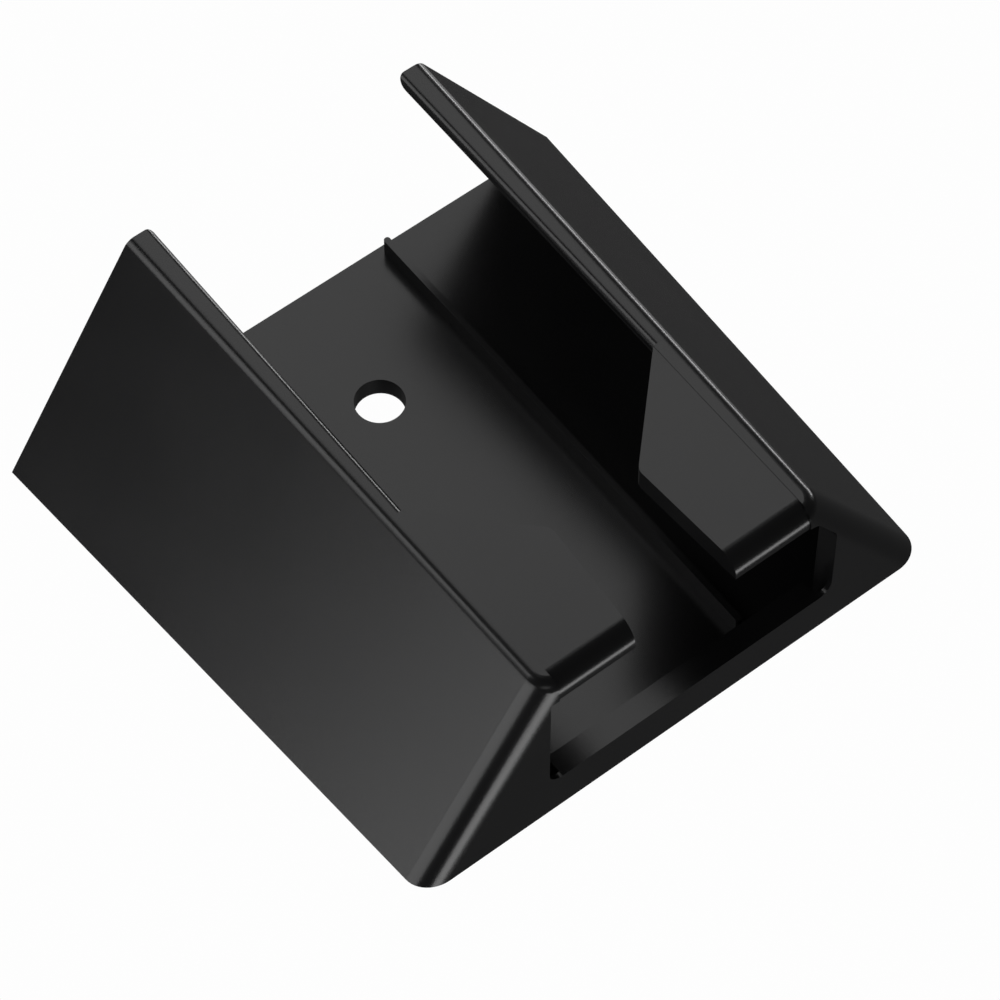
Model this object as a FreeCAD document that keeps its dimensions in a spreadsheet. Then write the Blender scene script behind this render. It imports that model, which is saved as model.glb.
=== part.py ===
"""Wall mount for a wedge-shaped ethernet adapter: one black moulded cradle, drawn as a parametric document.

The back plate lies on the wall, in the XY plane. +Z points out of the wall, +Y from the closed lower end
to the open upper end, and +X to the right. The origin is the middle of the back face. Lengths are in mm.
"""
import FreeCAD, Part
import math
import os

import Sketcher

SIZES = {
    # Outer body: a wedge with leaning sides, wider and higher at its open end
    "length": 60.4,
    "closed_width": 59.2,
    "side_flare": 5.8,
    "closed_height": 21.2,
    "front_rise": 2.8,
    "wall_lean": 33.0,
    # Walls
    "plate_thickness": 2.3,
    "end_wall": 2.4,
    "wall_top": 2.28,
    "plate_recess": 1.9,
    # Retaining tabs at the closed end
    "tab_thickness": 2.45,
    "tab_drop": 0.05,
    "tab_setback": 0.15,
    "tab_reach": 22.4,
    "tab_shoulder": 13.0,
    "gap_at_shoulder": 9.9,
    "gap_at_end": 11.5,
    # Cable window in the end wall, over its sill
    "window_width": 33.1,
    "window_offset": 1.25,
    "sill_height": 5.05,
    "relief_width": 1.5,
    "relief_skin": 0.5,
    # Rib along the plate
    "rib_offset": 9.46,
    "rib_drift": 0.92,
    "rib_thickness": 0.66,
    "rib_height": 2.05,
    "rib_start": 3.0,
    # Screw holes
    "screw_hole": 5.0,
    "hole_offset": -0.95,
    "hole_inset": 16.4,
    # Rounded edges
    "corner_radius": 2.6,
    "edge_radius": 1.4,
    "tab_end_radius": 2.1,
    "mouth_radius": 0.8,
    "wall_end_radius": 1.5,
    "tab_corner_radius": 1.2,
    "rib_end_radius": 0.3,
    "sill_corner_radius": 1.5,
    "window_corner_radius": 1.6,
}
CLEAR = 1.0
TOUCH = 1e-3

doc = FreeCAD.newDocument("EthernetAdapterMount")


def make_sheet():
    """One row for each driving size: its name, then its value under an alias of the same name."""
    rows = doc.addObject("Spreadsheet::Sheet", "Sizes")
    for row, (name, value) in enumerate(SIZES.items(), start=1):
        rows.set(f"A{row}", name)
        rows.set(f"B{row}", str(value))
        rows.setAlias(f"B{row}", name)
    doc.recompute()
    return rows


def cell(name):
    """The expression for one size."""
    return f"Sizes.{name}"


def size(name):
    """The number behind one size."""
    return float(sheet.get(name))


LEAN = f"tan({cell('wall_lean')} * 1 deg)"
CLOSED_END = f"(-{cell('length')} / 2)"
OPEN_END = f"({cell('length')} / 2)"
OPEN_WIDTH = f"({cell('closed_width')} + {cell('side_flare')})"
OPEN_HEIGHT = f"({cell('closed_height')} + {cell('front_rise')})"
ABOVE = f"({OPEN_HEIGHT} + {CLEAR})"
RISE = f"{cell('front_rise')} / {cell('length')}"
SPREAD = f"{LEAN} * {RISE}"
HALF_MOUTH = f"({cell('closed_width')} / 2 - {LEAN} * {cell('closed_height')} - {cell('wall_top')})"
HALF_STEP = f"({HALF_MOUTH} + {cell('mouth_radius')})"


def along(at_closed, at_open, y):
    """Expression for a value that runs straight from the closed end to the open end, at the place y."""
    return f"({at_closed} + ({at_open} - {at_closed}) * (({y}) / {cell('length')} + 0.5))"


def front(y):
    """Height of the front plane at y."""
    return along(cell("closed_height"), OPEN_HEIGHT, y)


def outer_half(y, z):
    """Half the outer width at y and z."""
    return f"({along(cell('closed_width'), OPEN_WIDTH, y)} / 2 - {LEAN} * ({z}))"


def inner_half(y, z):
    """Half the inner width at y and z: the inner faces lean as the outer ones do, from an even mouth."""
    return f"({HALF_MOUTH} + {LEAN} * ({front(y)} - ({z})))"


def tab_under(y):
    """Height of the tabs' underside at y."""
    return f"({front(y)} - {cell('tab_drop')} - {cell('tab_thickness')})"


def origin_plane(body, role):
    """The body's own origin plane of that role."""
    return next(item for item in body.Origin.OriginFeatures if item.Role == role)


def number(sketch, expression):
    """The value of an expression as a plain number."""
    value = sketch.evalExpression(expression)
    return float(getattr(value, "Value", value))


def new_sketch(body, name, role, offset):
    """Sketch on an origin plane, shifted along the plane's normal by the offset expression."""
    sketch = body.newObject("Sketcher::SketchObject", name)
    sketch.AttachmentSupport = [(origin_plane(body, role), "")]
    sketch.MapMode = "FlatFace"
    sketch.setExpression("AttachmentOffset.Base.z", offset)
    return sketch


def outline(body, name, role, offset, corners, rounded=None):
    """Closed polygon, drawn anticlockwise, whose corners are pairs of expressions in the sketch's directions.

    A corner that rounded names by its index is an arc of that size, tangent to its two sides.
    """
    sketch = new_sketch(body, name, role, offset)
    points = [FreeCAD.Vector(number(sketch, u), number(sketch, v), 0) for u, v in corners]
    radii = rounded or {}
    count = len(points)
    starts = list(points)
    ends = list(points)
    arcs = {}
    for index, radius_name in radii.items():
        point = points[index]
        back = (points[index - 1] - point).normalize()
        ahead = (points[(index + 1) % count] - point).normalize()
        radius = size(radius_name)
        half = back.getAngle(ahead) / 2
        starts[index] = point + ahead * (radius / math.tan(half))
        ends[index] = point + back * (radius / math.tan(half))
        centre = point + (back + ahead).normalize() * (radius / math.sin(half))
        left_turn = back.cross(ahead).z < 0
        first, last = (ends[index], starts[index]) if left_turn else (starts[index], ends[index])
        angles = [math.atan2(spot.y - centre.y, spot.x - centre.x) for spot in (first, last)]
        if angles[1] < angles[0]:
            angles[1] += 2 * math.pi
        circle = Part.Circle(centre, FreeCAD.Vector(0, 0, 1), radius)
        arcs[index] = (Part.ArcOfCircle(circle, *angles), left_turn)
    for index in range(count):
        sketch.addGeometry(Part.LineSegment(starts[index], ends[(index + 1) % count]), False)
    for index, (u, v) in enumerate(corners):
        before = (index - 1) % count
        if index in arcs:
            arc, left_turn = arcs[index]
            arc_id = sketch.addGeometry(arc, False)
            holder = sketch.addGeometry(Part.Point(points[index]), True)
            sketch.addConstraint(Sketcher.Constraint("PointOnObject", holder, 1, before))
            sketch.addConstraint(Sketcher.Constraint("PointOnObject", holder, 1, index))
            sketch.addConstraint(Sketcher.Constraint("Tangent", before, 2, arc_id, 1 if left_turn else 2))
            sketch.addConstraint(Sketcher.Constraint("Tangent", index, 1, arc_id, 2 if left_turn else 1))
            added = sketch.addConstraint(Sketcher.Constraint("Radius", arc_id, size(radii[index])))
            sketch.setExpression(f"Constraints[{added}]", cell(radii[index]))
        else:
            holder = index
            sketch.addConstraint(Sketcher.Constraint("Coincident", before, 2, index, 1))
        for kind, value, expression in (("DistanceX", points[index].x, u), ("DistanceY", points[index].y, v)):
            added = sketch.addConstraint(Sketcher.Constraint(kind, holder, 1, value))
            sketch.setExpression(f"Constraints[{added}]", expression)
    return sketch


def slanted_cut(body, name, corners, start, reach, drift="0", rise="0"):
    """Cut a section at start along +Y, moving sideways by drift and outward by rise for each millimetre."""
    before = body.Shape.Volume
    section = outline(body, f"{name}_section", "XZ_Plane", f"-({start})", corners)
    feature = body.newObject("PartDesign::Pocket", name)
    feature.Profile = section
    feature.Type = "Length"
    feature.UseCustomVector = True
    feature.AlongSketchNormal = True
    feature.Direction = FreeCAD.Vector(number(section, drift), 1, number(section, rise))
    feature.setExpression("Direction.x", drift)
    feature.setExpression("Direction.z", rise)
    feature.setExpression("Length", reach)
    doc.recompute()
    if feature.Shape.Volume > before - TOUCH:
        raise RuntimeError(f"{name} cuts nothing")
    return feature


def both_sides(body, name, corners, start, reach, drift):
    """The same slanted cut on the right and, mirrored, on the left."""
    slanted_cut(body, f"right_{name}", corners, start, reach, drift)
    mirrored = [(f"-({u})", v) for u, v in corners]
    slanted_cut(body, f"left_{name}", mirrored, start, reach, f"-({drift})")


def pocket(body, name, sketch, depth):
    """Cut a sketch into the body, to the depth expression."""
    before = body.Shape.Volume
    feature = body.newObject("PartDesign::Pocket", name)
    feature.Profile = sketch
    feature.Type = "Length"
    feature.setExpression("Length", depth)
    doc.recompute()
    if feature.Shape.Volume > before - TOUCH:
        raise RuntimeError(f"{name} cuts nothing")
    return feature


def edges_where(feature, test):
    """Names of the feature's edges whose start, middle and end all pass the test."""
    names = []
    for index, edge in enumerate(feature.Shape.Edges, start=1):
        first, last = edge.FirstParameter, edge.LastParameter
        points = [edge.valueAt(first + (last - first) * share) for share in (0.0, 0.5, 1.0)]
        if all(test(point) for point in points):
            names.append(f"Edge{index}")
    return names


def fillet(body, name, radius, test):
    """Round the edges that pass the test."""
    base = body.Tip
    chosen = edges_where(base, test)
    if not chosen:
        raise RuntimeError(f"{name} finds no edge")
    feature = body.newObject("PartDesign::Fillet", name)
    feature.Base = (base, chosen)
    feature.setExpression("Radius", cell(radius))
    doc.recompute()
    return feature


def near(value, target, tolerance=0.02):
    return abs(value - target) < tolerance


def lean():
    return math.tan(math.radians(size("wall_lean")))


def share(y):
    """How far y lies along the length, from 0 at the closed end to 1 at the open end."""
    return y / size("length") + 0.5


def front_height(y):
    return size("closed_height") + size("front_rise") * share(y)


def on_front(point):
    """The point lies on the front plane."""
    return near(point.z, front_height(point.y))


def on_outer_side(point):
    half = (size("closed_width") + size("side_flare") * share(point.y)) / 2 - lean() * point.z
    return near(abs(point.x), half)


def half_mouth():
    return size("closed_width") / 2 - lean() * size("closed_height") - size("wall_top")


def make_outer_body(body):
    """Wedge with leaning sides, then its two closed-end corners and its outer front edges are rounded."""
    profile = outline(body, "side_profile", "YZ_Plane", "0", [
        (CLOSED_END, "0"),
        (OPEN_END, "0"),
        (OPEN_END, OPEN_HEIGHT),
        (CLOSED_END, cell("closed_height")),
    ])
    block = body.newObject("PartDesign::Pad", "outer_block")
    block.Profile = profile
    block.Midplane = True
    block.setExpression("Length", f"{OPEN_WIDTH} + {CLEAR}")
    doc.recompute()
    before = f"({CLOSED_END} - {CLEAR})"
    outside = f"({OPEN_WIDTH} / 2 + 2 * {CLEAR})"
    taper = f"{cell('side_flare')} / 2 / {cell('length')}"
    both_sides(body, "outer_face", [
        (outer_half(before, f"-{CLEAR}"), f"-{CLEAR}"),
        (outside, f"-{CLEAR}"),
        (outside, ABOVE),
        (outer_half(before, ABOVE), ABOVE),
    ], before, f"{cell('length')} + 2 * {CLEAR}", taper)
    closed_y = -size("length") / 2
    fillet(body, "closed_corners", "corner_radius", lambda p: near(p.y, closed_y) and on_outer_side(p))
    fillet(body, "outer_edges", "edge_radius",
           lambda p: on_front(p) and (on_outer_side(p) or p.y < closed_y + size("corner_radius")))


def make_cavity(body):
    """Space for the adapter: open at the upper end, roofed by the tabs' plane at the closed end."""
    start = f"({CLOSED_END} + {cell('end_wall')})"
    reach = f"({CLOSED_END} + {cell('tab_reach')})"
    floor = cell("plate_thickness")
    middle = f"({cell('closed_height')} * 0.75)"
    overlap = f"-{HALF_MOUTH} / 2"
    for name, first, top in (("lower_inner_face", start, middle), ("upper_inner_face", reach, ABOVE)):
        both_sides(body, name, [
            (overlap, floor),
            (inner_half(first, floor), floor),
            (inner_half(first, top), top),
            (overlap, top),
        ], first, cell("length"), SPREAD)
    low = f"({cell('closed_height')} / 2)"
    roof = tab_under(start)
    slanted_cut(body, "tab_underside", [
        (f"-{inner_half(start, low)}", low),
        (inner_half(start, low), low),
        (inner_half(start, roof), roof),
        (f"-{inner_half(start, roof)}", roof),
    ], start, f"{cell('tab_reach')} - {cell('end_wall')} + {TOUCH}", rise=RISE)


def make_plate_recess(body):
    """The plate stops short of the side walls at the open end."""
    start = f"({OPEN_END} - {cell('plate_recess')})"
    low = f"-{CLEAR}"
    high = f"({cell('plate_thickness')} + {CLEAR})"
    both_sides(body, "plate_recess", [
        (f"-{HALF_MOUTH} / 2", low),
        (inner_half(start, low), low),
        (inner_half(start, high), high),
        (f"-{HALF_MOUTH} / 2", high),
    ], start, f"{cell('plate_recess')} + {CLEAR}", SPREAD)


def round_walls(body):
    """Round the walls' inner front edges beyond the tabs, then their inner corners at the open end."""
    reach_y = -size("length") / 2 + size("tab_reach")
    fillet(body, "mouth_edges", "mouth_radius",
           lambda p: on_front(p) and p.y > reach_y - TOUCH and near(abs(p.x), half_mouth()))
    end = OPEN_END
    inner = inner_half(end, "0")
    radius = cell("wall_end_radius")
    for name, sign in (("right_wall_end", 1), ("left_wall_end", -1)):
        inside = f"({inner} - {CLEAR})"
        corners = [
            (inside, f"({end} - 2 * {radius})"),
            (f"({inner} - {SPREAD} * 2 * {radius})", f"({end} - 2 * {radius})"),
            (inner, end),
            (f"({inner} + 2 * {radius})", end),
            (f"({inner} + 2 * {radius})", f"({end} + {CLEAR})"),
            (inside, f"({end} + {CLEAR})"),
        ]
        if sign < 0:
            corners = [(f"-({u})", v) for u, v in reversed(corners)]
        rounded_corner = 2 if sign > 0 else 3
        rounded = {rounded_corner: "wall_end_radius"}
        sketch = outline(body, f"{name}_outline", "XY_Plane", "0", corners, rounded)
        before = body.Shape.Volume
        cut = body.newObject("PartDesign::Pocket", name)
        cut.Profile = sketch
        cut.Type = "Length"
        cut.UseCustomVector = True
        cut.AlongSketchNormal = True
        cut.Direction = FreeCAD.Vector(-sign * lean(), 0, 1)
        cut.setExpression("Direction.x", f"{-sign} * {LEAN}")
        cut.setExpression("Length", ABOVE)
        doc.recompute()
        if cut.Shape.Volume > before - TOUCH:
            raise RuntimeError(f"{name} cuts nothing")


def make_tab_faces(body):
    """The tabs lie a little under the walls' front, between two low steps, with well rounded ends."""
    end = f"({CLOSED_END} + {cell('tab_setback')})"
    before = f"({CLOSED_END} - {CLEAR})"
    beyond = f"({CLOSED_END} + {cell('tab_reach')})"
    low = tab_under(CLOSED_END)
    profile = outline(body, "tab_face_profile", "YZ_Plane", "0", [
        (before, low),
        (end, low),
        (end, f"({front(end)} - {cell('tab_drop')})"),
        (beyond, f"({front(beyond)} - {cell('tab_drop')})"),
        (beyond, ABOVE),
        (before, ABOVE),
    ], {2: "tab_end_radius"})
    before_volume = body.Shape.Volume
    faces = body.newObject("PartDesign::Pocket", "tab_faces")
    faces.Profile = profile
    faces.Type = "Length"
    faces.Midplane = True
    faces.setExpression("Length", f"2 * {HALF_STEP}")
    doc.recompute()
    if faces.Shape.Volume > before_volume - TOUCH:
        raise RuntimeError("tab_faces cuts nothing")


def make_tab_gap(body):
    """The gap between the tabs, widening towards the closed end, with slanted shoulders out to the walls."""
    before = f"({CLOSED_END} - {CLEAR})"
    shoulder = f"({CLOSED_END} + {cell('tab_shoulder')})"
    reach = f"({CLOSED_END} + {cell('tab_reach')})"
    half_end = f"({cell('gap_at_end')} / 2)"
    half_shoulder = f"({cell('gap_at_shoulder')} / 2)"
    right = [
        (half_end, before),
        (half_end, CLOSED_END),
        (half_shoulder, shoulder),
        (HALF_STEP, reach),
    ]
    left = [(f"-({u})", v) for u, v in reversed(right)]
    gap = outline(body, "gap_outline", "XY_Plane", ABOVE, right + left,
                  {2: "tab_corner_radius", 5: "tab_corner_radius"})
    pocket(body, "tab_gap", gap, f"{ABOVE} - {cell('closed_height')} / 2")


def make_window(body):
    """Cable window in the end wall, from the sill up to the tabs, with a relief at each end of the sill."""
    left = f"({cell('window_offset')} - {cell('window_width')} / 2)"
    right = f"({cell('window_offset')} + {cell('window_width')} / 2)"
    sill = cell("sill_height")
    under = tab_under(CLOSED_END)
    slant = f"({front(CLOSED_END)} - ({right} - {HALF_MOUTH}) / {LEAN})"
    rounded = {0: "sill_corner_radius", 1: "sill_corner_radius"}
    rounded.update({2: "window_corner_radius", 3: "window_corner_radius"})
    window = outline(body, "window_outline", "XZ_Plane", f"-({CLOSED_END})", [
        (left, sill),
        (right, sill),
        (right, slant),
        (inner_half(CLOSED_END, under), under),
        (left, under),
    ], rounded)
    pocket(body, "cable_window", window, f"{cell('end_wall')} + {CLEAR}")
    top = f"({sill} + {cell('sill_corner_radius')} + {CLEAR})"
    front_skin = f"({CLOSED_END} + {cell('relief_skin')})"
    back = f"({CLOSED_END} + {cell('end_wall')} + {CLEAR} / 2)"
    for name, near_side, far_side in (
        ("left_relief", left, f"({left} + {cell('relief_width')})"),
        ("right_relief", f"({right} - {cell('relief_width')})", right),
    ):
        slot = outline(body, f"{name}_outline", "XY_Plane", top, [
            (near_side, front_skin), (far_side, front_skin), (far_side, back), (near_side, back)])
        pocket(body, name, slot, f"{top} - {cell('plate_thickness')}")


def make_rib(body):
    """Low thin rib on the plate, from just inside the sill to the upper edge, drifting to the right."""
    start = f"({CLOSED_END} + {cell('rib_start')})"
    stop = f"({OPEN_END} - {cell('plate_recess')} - {cell('rib_thickness')})"
    half = f"{cell('rib_thickness')} / 2"
    middle_start = along(cell("rib_offset"), f"({cell('rib_offset')} + {cell('rib_drift')})", start)
    middle_stop = along(cell("rib_offset"), f"({cell('rib_offset')} + {cell('rib_drift')})", stop)
    run = outline(body, "rib_outline", "XY_Plane", f"{cell('plate_thickness')} / 2", [
        (f"({middle_start} - {half})", start),
        (f"({middle_start} + {half})", start),
        (f"({middle_stop} + {half})", stop),
        (f"({middle_stop} - {half})", stop),
    ], {index: "rib_end_radius" for index in range(4)})
    rib = body.newObject("PartDesign::Pad", "rib")
    rib.Profile = run
    rib.setExpression("Length", f"{cell('plate_thickness')} / 2 + {cell('rib_height')}")
    doc.recompute()


def make_screw_holes(body):
    """Two plain screw holes, the same distance from each end."""
    sketch = new_sketch(body, "screw_hole_circles", "XY_Plane", cell("plate_thickness"))
    lower = f"({CLOSED_END} + {cell('hole_inset')})"
    upper = f"({OPEN_END} - {cell('hole_inset')})"
    for index, y in enumerate((lower, upper)):
        centre = FreeCAD.Vector(size("hole_offset"), number(sketch, y), 0)
        sketch.addGeometry(Part.Circle(centre, FreeCAD.Vector(0, 0, 1), size("screw_hole") / 2), False)
        places = (("DistanceX", centre.x, cell("hole_offset")), ("DistanceY", centre.y, y))
        for kind, value, expression in places:
            added = sketch.addConstraint(Sketcher.Constraint(kind, index, 3, value))
            sketch.setExpression(f"Constraints[{added}]", expression)
        added = sketch.addConstraint(Sketcher.Constraint("Diameter", index, size("screw_hole")))
        sketch.setExpression(f"Constraints[{added}]", cell("screw_hole"))
    pocket(body, "screw_holes", sketch, cell("plate_thickness"))


def make_bracket():
    """The whole cradle, moulded in one piece."""
    body = doc.addObject("PartDesign::Body", "wall_bracket")
    body.Label = "wall_bracket"
    doc.recompute()
    make_outer_body(body)
    make_cavity(body)
    make_plate_recess(body)
    round_walls(body)
    make_tab_faces(body)
    make_tab_gap(body)
    make_window(body)
    make_rib(body)
    make_screw_holes(body)
    return body


def check(item):
    """Stop on a failed object or a bad shape."""
    for part in doc.Objects:
        if "Invalid" in part.State or "Error" in part.State:
            raise RuntimeError(f"{part.Label} failed: {part.State}")
    shape = item.Shape
    if shape.isNull() or not shape.isValid() or len(shape.Solids) != 1:
        raise RuntimeError(f"{item.Label} has no single valid solid")


sheet = make_sheet()
bracket = make_bracket()
doc.recompute()
check(bracket)
os.makedirs("parts", exist_ok=True)
bracket.Shape.exportStep(f"parts/{bracket.Label}.step")
print(f"{bracket.Label}: {bracket.Shape.Volume / 1000:.3f} cm3")
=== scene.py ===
"""Looks of the adapter's wall cradle: moulded plastic, pale floor, studio lights and camera.

Lengths are in metres, in the cradle's own frame: +Z out of the wall, +Y to the open upper end
and +X to the right.
"""

import math

import bpy
import numpy as np
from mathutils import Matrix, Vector

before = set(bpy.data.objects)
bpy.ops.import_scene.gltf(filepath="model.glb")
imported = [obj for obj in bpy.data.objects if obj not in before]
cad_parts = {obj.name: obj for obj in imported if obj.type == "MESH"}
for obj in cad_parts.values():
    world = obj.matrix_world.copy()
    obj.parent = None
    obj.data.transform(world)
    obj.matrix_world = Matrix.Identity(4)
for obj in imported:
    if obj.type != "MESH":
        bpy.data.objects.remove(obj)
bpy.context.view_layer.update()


# Shader maths
class Wire:
    """An output socket whose arithmetic adds Math nodes to its material."""

    def __init__(self, tree, socket=None):
        self.tree = tree
        self.socket = socket

    def add(self, kind, settings=None, inputs=None, output=0):
        """Add one node: its settings first, then the values or links of its sockets."""
        node = self.tree.nodes.new(kind)
        for name, value in (settings or {}).items():
            setattr(node, name, value)
        for name, value in (inputs or {}).items():
            if isinstance(value, Wire):
                self.tree.links.new(value.socket, node.inputs[name])
            else:
                node.inputs[name].default_value = value
        return Wire(self.tree, node.outputs[output])

    def maths(self, operation, *values):
        return self.add("ShaderNodeMath", {"operation": operation}, dict(enumerate(values)))

    def __add__(self, other):
        return self.maths("ADD", self, other)

    def __radd__(self, other):
        return self.maths("ADD", other, self)

    def __mul__(self, other):
        return self.maths("MULTIPLY", self, other)

    def __rmul__(self, other):
        return self.maths("MULTIPLY", other, self)


def empty_material(name):
    """A node material with nothing in it yet."""
    material = bpy.data.materials.new(name)
    material.use_nodes = True
    material.node_tree.nodes.clear()
    return material, Wire(material.node_tree)


def finish_material(material, shader):
    """Lead a shader to the material's output."""
    out = material.node_tree.nodes.new("ShaderNodeOutputMaterial")
    material.node_tree.links.new(shader.socket, out.inputs["Surface"])
    return material


def moulded_plastic():
    """Black satin plastic: a very fine spark-eroded grain, with slow waves in its gloss from the mould."""
    deep_black = (0.008, 0.008, 0.0085, 1)
    soft_black = (0.012, 0.012, 0.0125, 1)
    material, start = empty_material("black_moulded_plastic")
    place = start.add("ShaderNodeTexCoord", output="Object")
    grain = start.add("ShaderNodeTexNoise", {"noise_dimensions": "3D"},
                      {"Vector": place, "Scale": 5200.0, "Detail": 3.0, "Roughness": 0.6}, "Fac")
    flow = start.add("ShaderNodeTexNoise", {"noise_dimensions": "3D"},
                     {"Vector": place, "Scale": 70.0, "Detail": 2.0, "Roughness": 0.5}, "Fac")
    tint = start.add("ShaderNodeMix", {"data_type": "RGBA"},
                     {"Factor": flow, "A": deep_black, "B": soft_black}, "Result")
    roughness = 0.19 + 0.05 * flow + 0.04 * grain
    height = grain + 0.35 * flow
    bump = start.add("ShaderNodeBump", None,
                     {"Height": height, "Strength": 0.10, "Distance": 0.00006}, "Normal")
    plastic = start.add("ShaderNodeBsdfPrincipled", None, {
        "Base Color": tint,
        "Roughness": roughness,
        "Normal": bump,
        "IOR": 1.5,
    }, "BSDF")
    return finish_material(material, plastic)


def pale_paper():
    """Even white paper that gives its own light, so that the cradle stands on a plain ground."""
    material, start = empty_material("pale_paper")
    glow = start.add("ShaderNodeEmission", None, {"Color": (1, 1, 1, 1), "Strength": 0.985}, "Emission")
    return finish_material(material, glow)


def surface(name, points, faces):
    """A mesh object from arrays of points and faces."""
    mesh = bpy.data.meshes.new(name)
    mesh.from_pydata(points.tolist(), [], faces.tolist())
    mesh.update()
    piece = bpy.data.objects.new(name, mesh)
    bpy.context.scene.collection.objects.link(piece)
    return piece


def floor_sheet():
    """A square sheet, level and just under the back face: x and y run from -half to half."""
    half = 3.0
    level = -0.0002
    corners = [(-half, -half), (half, -half), (half, half), (-half, half)]
    sheet = surface("floor", np.array([(x, y, level) for x, y in corners]), np.array([(0, 1, 2, 3)]))
    sheet.data.materials.append(pale_paper())
    sheet.visible_diffuse = False
    sheet.visible_glossy = False
    sheet.visible_transmission = False
    sheet.visible_shadow = False
    return sheet


def soft_light(name, direction, width, height, brightness):
    """A rectangular light with an even face, which looks at the cradle from a direction."""
    stand_off = 0.9
    lamp = bpy.data.lights.new(name, "AREA")
    lamp.shape = "RECTANGLE"
    lamp.size = width
    lamp.size_y = height
    lamp.energy = brightness * math.pi * width * height
    lamp.normalize = True
    place = Vector(direction).normalized() * stand_off
    stand = bpy.data.objects.new(name, lamp)
    stand.location = place
    stand.rotation_mode = "QUATERNION"
    stand.rotation_quaternion = place.to_track_quat("Z", "Y")
    bpy.context.scene.collection.objects.link(stand)
    return stand


def studio():
    """Plain soft lights over, beside and behind the cradle, and a dim even room."""
    soft_light("overhead_light", (0.30, 0.46, 0.84), 0.55, 0.52, 1.2)
    soft_light("left_light", (-1.0, 0.0, 0.0), 0.65, 0.75, 1.8)
    soft_light("upper_left_light", (-0.60, 0.42, 0.68), 0.24, 0.60, 2.2)
    soft_light("right_light", (0.89, 0.42, 0.17), 0.90, 0.13, 8.5)
    soft_light("front_low_light", (0.0, -0.85, -0.50), 0.95, 0.26, 3.4)
    soft_light("front_high_light", (-0.5, -0.75, 0.45), 0.35, 0.25, 0.9)
    soft_light("back_light", (0.0, 1.0, 0.1), 1.00, 0.45, 2.2)
    soft_light("back_right_light", (0.80, 0.60, -0.15), 0.50, 0.40, 1.0)
    world = bpy.data.worlds.new("dim_room")
    world.use_nodes = True
    world.node_tree.nodes["Background"].inputs["Color"].default_value = (1, 1, 1, 1)
    world.node_tree.nodes["Background"].inputs["Strength"].default_value = 0.05
    bpy.context.scene.world = world


def camera():
    """The photograph's view: its place, its aim and its long lens."""
    lens = bpy.data.cameras.new("camera")
    lens.sensor_width = 36.0
    lens.sensor_fit = "HORIZONTAL"
    lens.lens = 159.606
    lens.clip_start = 0.01
    eye = bpy.data.objects.new("camera", lens)
    place = Vector((-0.13961, -0.18107, 0.35171))
    aim = Vector((-0.001991, -0.00608, 0.010))
    eye.location = place
    eye.rotation_mode = "QUATERNION"
    eye.rotation_quaternion = (aim - place).to_track_quat("-Z", "Y")
    bpy.context.scene.collection.objects.link(eye)
    bpy.context.scene.camera = eye
    return eye


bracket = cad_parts["wall_bracket"]
bracket.data.materials.clear()
bracket.data.materials.append(moulded_plastic())
floor_sheet()
studio()
camera()
bpy.context.scene.view_settings.view_transform = "Standard"
